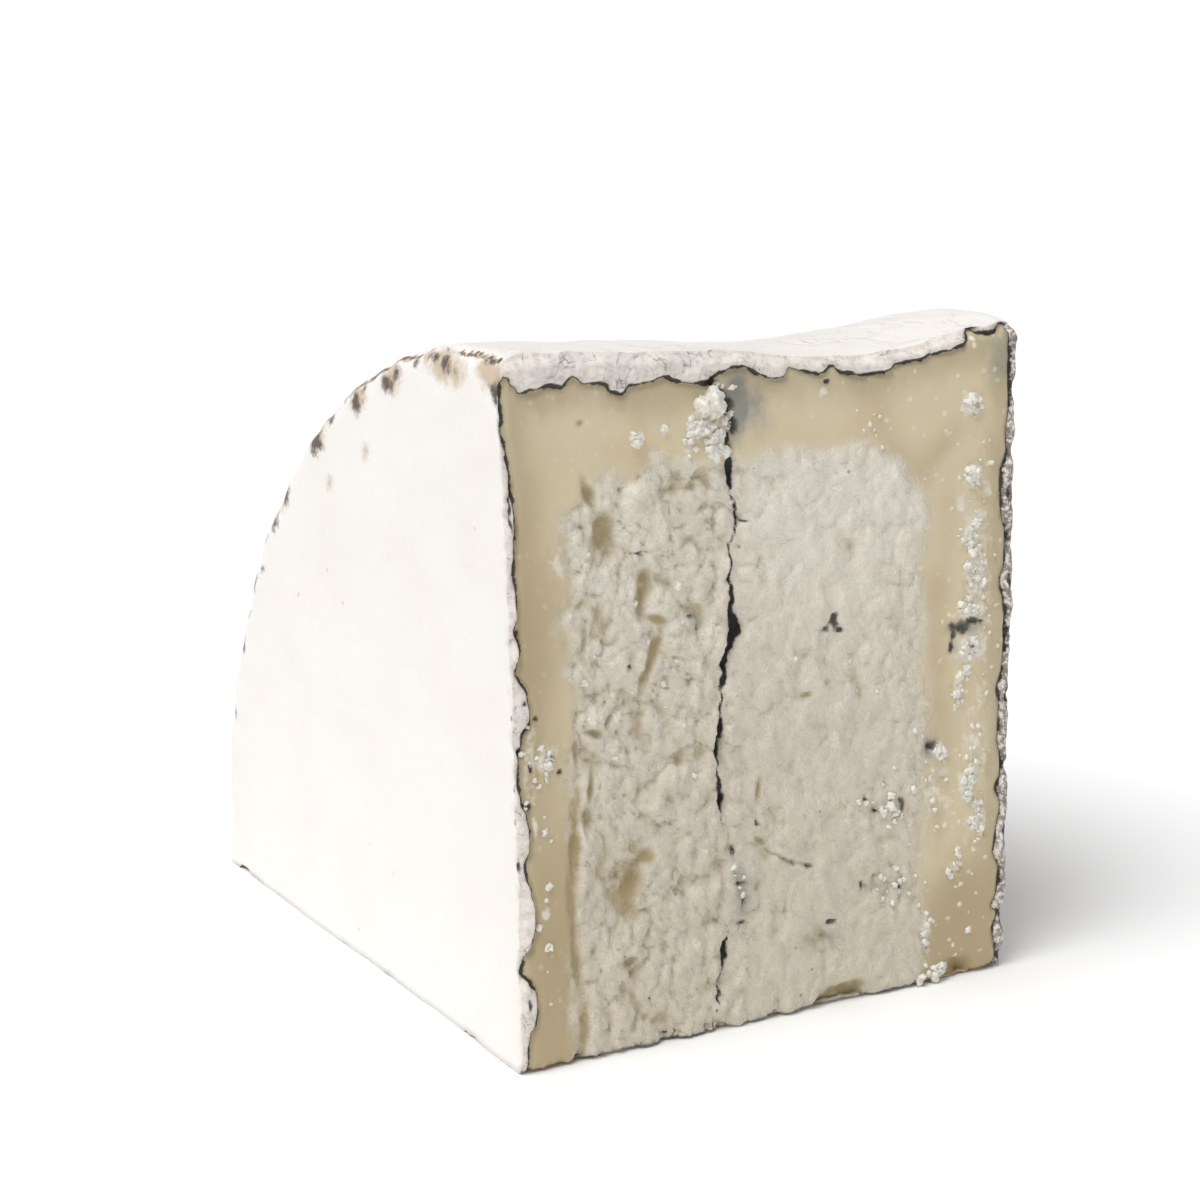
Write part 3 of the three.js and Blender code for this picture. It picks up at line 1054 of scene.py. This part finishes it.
def rind_finish():
    """White velvet mould over ash, rubbed through along the wheel's round edges."""
    made = Finish("bloomy_rind")
    cloud = made.noise(14, detail=3)
    mottle = made.noise(3.5, detail=4, roughness=0.6, shift=3)
    flecks = made.noise(1.3, detail=3, roughness=0.6, shift=5)
    velvet = made.noise(0.5, detail=3, roughness=0.7, shift=7)
    base = made.mix(made.step(cloud, 0.35, 0.75) * 0.5, RIND_WHITE, RIND_SHADE)
    base = made.mix(made.step(mottle, 0.6, 0.8) * 0.35, base, RIND_CREAM)

    along, inset = made.mark("edge_along"), made.mark("edge_inset")
    edge = made.add("ShaderNodeCombineXYZ", {}, {"X": along * (1 / SPOT_STRETCH), "Y": inset})
    ragged = (mottle - 0.5) * 1.6 + (flecks - 0.5) * 2.8 + (velvet - 0.5) * 0.8
    crust = made.step(made.from_spots(edge, on_edge(TAN_SPOTS)) + ragged, 1.3, -1.1)
    rubbed = made.step(made.from_spots(edge, on_edge(DARK_SPOTS)) + ragged, 0.5, -0.9)
    high = made.step(along, 55, 85)
    line = made.step(abs(inset + ragged), 1.1, 0.3) * made.step(cloud + (flecks - 0.5) * 0.5, 0.4, 0.52)
    base = made.mix(crust.at_least(line * high) * 0.8, base, WORN_TAN)
    base = made.mix(rubbed.at_least(line * high * made.step(flecks, 0.4, 0.6)) * 0.95, base, WORN_ASH)
    freckle = made.cells(5.5, shift=2)
    base = made.mix(made.step(freckle, 0.09, 0.03) * made.step(cloud, 0.5, 0.6) * 0.4, base, WORN_TAN)
    crease = made.step(abs(made.noise(9, detail=3, shift=11) - 0.5) + (flecks - 0.5) * 0.05, 0.05, 0.0)
    creased = crease * made.step(cloud, 0.4, 0.65) * made.step(inset, -1, -5)
    # painted shade: the rind's creases darkened a little
    base = made.mix(creased * 0.1, base, RIND_CREASE_SHADE)
    height = mottle * 0.12 + velvet * 0.05 + flecks * 0.1 - creased * 0.15
    return made.done(base, mottle * 0.2 + 0.7, made.bump(height), VELVET)


def paste_finish():
    """What the knife laid open: rind, ash, ripe layer, crumbly core and ash seam."""
    made = Finish("cut_paste")
    rind, core = made.mark("rind_depth"), made.mark("core_depth")
    cloud = made.noise(9, detail=3, shift=5)
    mottle = made.noise(2.4, detail=4, roughness=0.6, shift=9)
    grain = made.noise(0.7, detail=3, roughness=0.65, shift=4)
    pores = made.noise(0.28, detail=2, roughness=0.6, shift=8)
    fray = (grain - 0.5) * 0.9 + (pores - 0.5) * 0.4

    # the ripe layer: paler and warmer inwards, greyer next to the ash, with flecks of curd
    cream = made.mix(made.step(rind + (cloud - 0.5) * 4, 1.0, 6.0) * 0.6 + 0.4, CREAM_RIPE, CREAM)
    cream = made.mix(made.step(cloud, 0.45, 0.75) * 0.4, cream, CREAM_PALE)
    near_ash = made.step(rind + (mottle - 0.5) * 3, 4.0, 0.0)
    cream = made.mix(near_ash * 0.3, cream, CREAM_GREY)
    warm = made.noise(13, detail=2, shift=16)
    cream = made.mix(made.step(warm, 0.48, 0.7) * made.step(rind, 2, 6) * 0.45, cream, CREAM_WARM)
    # ripeness and painted shade: the ripe mark darkens the ripe layer, and along the left of the cut this
    # darkening is painted shade
    cream = made.mix(made.step(made.mark("ripe") + (cloud - 0.5) * 0.4, 0.1, 1.0), cream, CREAM_RIPE)
    right, high = made.along_axis("X"), made.along_axis("Z")
    fleck = made.step(made.cells(1.9, shift=13) + (grain - 0.5) * 0.5, 0.26, 0.1)
    fleck *= made.step(mottle, 0.4, 0.6) * (0.25 + made.step(right, 10 * MM, 28 * MM) * 0.6)
    cream = made.mix(fleck, cream, CORE_WHITE)

    # the core: painted light and shade, paler towards the top right and darker towards the bottom, and
    # painted shade tinted tan where the curd lies low
    curd = made.mix(made.step(mottle, 0.35, 0.7), CORE, CORE_WHITE)
    # painted shade: the core darker towards the bottom
    curd = made.mix(made.step(high + (cloud - 0.5) * (30 * MM), 75 * MM, 15 * MM) * 0.8, curd, CORE_LOW_SHADE)
    # painted light: the top right of the core paler
    upper_light = made.step(high + (cloud - 0.5) * (20 * MM), 50 * MM, 70 * MM) * made.step(right, -6 * MM, 0.0)
    curd = made.mix(upper_light * 0.8, curd, CORE_WHITE)
    # painted shade: low places of the curd relief darkened, tinted tan
    sunk_shade = made.step(made.mark("relief") + (grain - 0.5) * 0.4, -0.35, -1.0)
    curd = made.mix(sunk_shade * 0.6, curd, CORE_HOLLOW_SHADE)

    # what lies on both: smears, torn hollows and cracks tinted tan with painted shade, ash dust, blue specks
    # and the seam
    in_core = made.step(core + (mottle - 0.5) * 2.6 + (grain - 0.5) * 0.8, -1.7, 1.9)
    base = made.mix(in_core, cream, curd)
    smear = made.mark("smear") + (mottle - 0.5) * 1.1 + (grain - 0.5) * 0.5
    base = made.mix(made.step(smear, 0.3, 0.65) * 0.8, base, CORE_WHITE)
    # tan and painted shade: tear-outs and cracks darkened towards a shaded tan
    torn = made.mark("torn") * (0.8 + made.step(mottle, 0.3, 0.6) * 0.5) + fray * 0.35
    base = made.mix(made.step(torn, 0.05, 1.25) * 0.95, base, TORN_TAN_SHADE)
    dust = made.mark("ash_dust") * (0.75 + made.step(mottle, 0.25, 0.75) * 0.5) + fray * 0.3
    base = made.mix(made.step(dust, 0.15, 1.3) * 0.75, base, ASH_BLUE)
    speck = made.step(made.cells(3.4, shift=6) + (grain - 0.5) * 0.12, 0.1, 0.045)
    base = made.mix(speck * made.step(cloud, 0.52, 0.6) * in_core * 0.6, base, ASH_BLUE)
    base = made.mix(made.step(made.mark("seam_gap") + fray * 0.35, 0.2, -0.06), base, ASH_BLACK)

    # the rind's own cut edge, the spots of ash and the line of ash under the rind
    rind_band = made.mix(made.step(grain + (mottle - 0.5) * 0.5, 0.42, 0.7), RIND_CUT, RIND_CUT_GREY)
    wrinkle = abs(made.noise(2.2, detail=2, shift=12) - 0.5) + (pores - 0.5) * 0.05
    wrinkle = made.step(wrinkle, 0.03, 0.008)
    rind_band = made.mix(wrinkle * made.step(mottle, 0.48, 0.62) * 0.45, rind_band, WORN_ASH)
    sooty = made.step(right + (mottle - 0.5) * (4 * MM), 35.5 * MM, 37.5 * MM) * made.step(grain, 0.4, 0.55)
    rind_band = made.mix(sooty * 0.65, rind_band, WORN_ASH)
    base = made.mix(made.step(rind + fray * 0.3, 0.05, -0.25), base, rind_band)
    base = made.mix(made.step(made.mark("ash_spot") + fray * 0.9, 0.3, 1.0) * 0.9, base, ASH_BLACK)
    wide = 0.03 + made.step(mottle, 0.4, 0.65) * 0.27
    ash_line = made.step(abs(rind + fray * 0.4) - wide, 0.12, -0.06)
    base = made.mix(ash_line * 0.93, base, ASH_BLACK)

    height = in_core * (grain * 0.32 + mottle * 0.2 + pores * 0.12) + grain * 0.05 + pores * 0.02
    roughness = 0.42 + in_core * 0.33 + made.step(rind, 0.1, -0.2) * 0.3
    return made.done(base, roughness, made.bump(height), SOFT_LIGHT)


def curd_finish(name, dark, light):
    made = Finish(name)
    grain = made.noise(0.6, detail=3, roughness=0.6)
    mottle = made.noise(5, detail=2, shift=3)
    base = made.mix(made.step(grain, 0.35, 0.55), dark, light)
    base = made.mix(made.step(mottle, 0.5, 0.7) * 0.3, base, CREAM_PALE)
    return made.done(base, grain * 0.2 + 0.6, made.bump(grain * 0.2), SOFT_LIGHT)


def floor_finish():
    made = Finish("studio_floor")
    mottle = made.noise(400, detail=1)
    base = made.mix(mottle, FLOOR_SHADE, FLOOR_WHITE)
    return made.done(base, 1.0, made.bump(mottle), {"Specular IOR Level": 0.0})


# ================================================================ the studio
FLOOR_SIZE = 20.0
CAMERA_AZIMUTH = math.radians(-29.4)
CAMERA_ELEVATION = math.radians(15.5)
CAMERA_DISTANCE = 0.46
CAMERA_LENS = 96
SUN_FROM = Vector((-0.44, -0.12, 0.88))
SUN_STRENGTH = 2.42
SUN_SOFTNESS = math.radians(35)
SKY_STRENGTH = 0.37


def add_floor():
    bm = bmesh.new()
    bmesh.ops.create_grid(bm, x_segments=1, y_segments=1, size=FLOOR_SIZE / 2)
    as_piece(bm, "floor", floor_finish())


def add_lights():
    sun = bpy.data.lights.new("soft_key", "SUN")
    sun.energy = SUN_STRENGTH
    sun.angle = SUN_SOFTNESS
    holder = bpy.data.objects.new("soft_key", sun)
    holder.rotation_euler = SUN_FROM.to_track_quat("Z", "Y").to_euler()
    bpy.context.scene.collection.objects.link(holder)
    world = bpy.data.worlds.new("studio")
    world.use_nodes = True
    sky = world.node_tree.nodes["Background"]
    sky.inputs["Color"].default_value = (1, 1, 1, 1)
    sky.inputs["Strength"].default_value = SKY_STRENGTH
    bpy.context.scene.world = world


def add_camera():
    lens = bpy.data.cameras.new("camera")
    lens.lens = CAMERA_LENS
    camera = bpy.data.objects.new("camera", lens)
    flat = math.cos(CAMERA_ELEVATION)
    back = Vector((
        math.sin(CAMERA_AZIMUTH) * flat,
        -math.cos(CAMERA_AZIMUTH) * flat,
        math.sin(CAMERA_ELEVATION),
    ))
    camera.location = (CAD_LOW + CAD_HIGH) / 2 + back * CAMERA_DISTANCE
    camera.rotation_euler = back.to_track_quat("Z", "Y").to_euler()
    bpy.context.scene.collection.objects.link(camera)
    bpy.context.scene.camera = camera
    bpy.context.scene.view_settings.view_transform = "Standard"


add_camera()
add_lights()
add_floor()

wedge = make_wedge(rind_finish(), paste_finish())
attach(wedge, "root")
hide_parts("cheese_wedge")

loose_curd = curd_finish("loose_curd", CORE_WHITE, CRUMB_WHITE)
ashy_curd = curd_finish("ashy_curd", ASH_BLUE, CORE_WHITE)
crumbs = make_crumbs(loose_curd, ashy_curd)
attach(crumbs, "root")
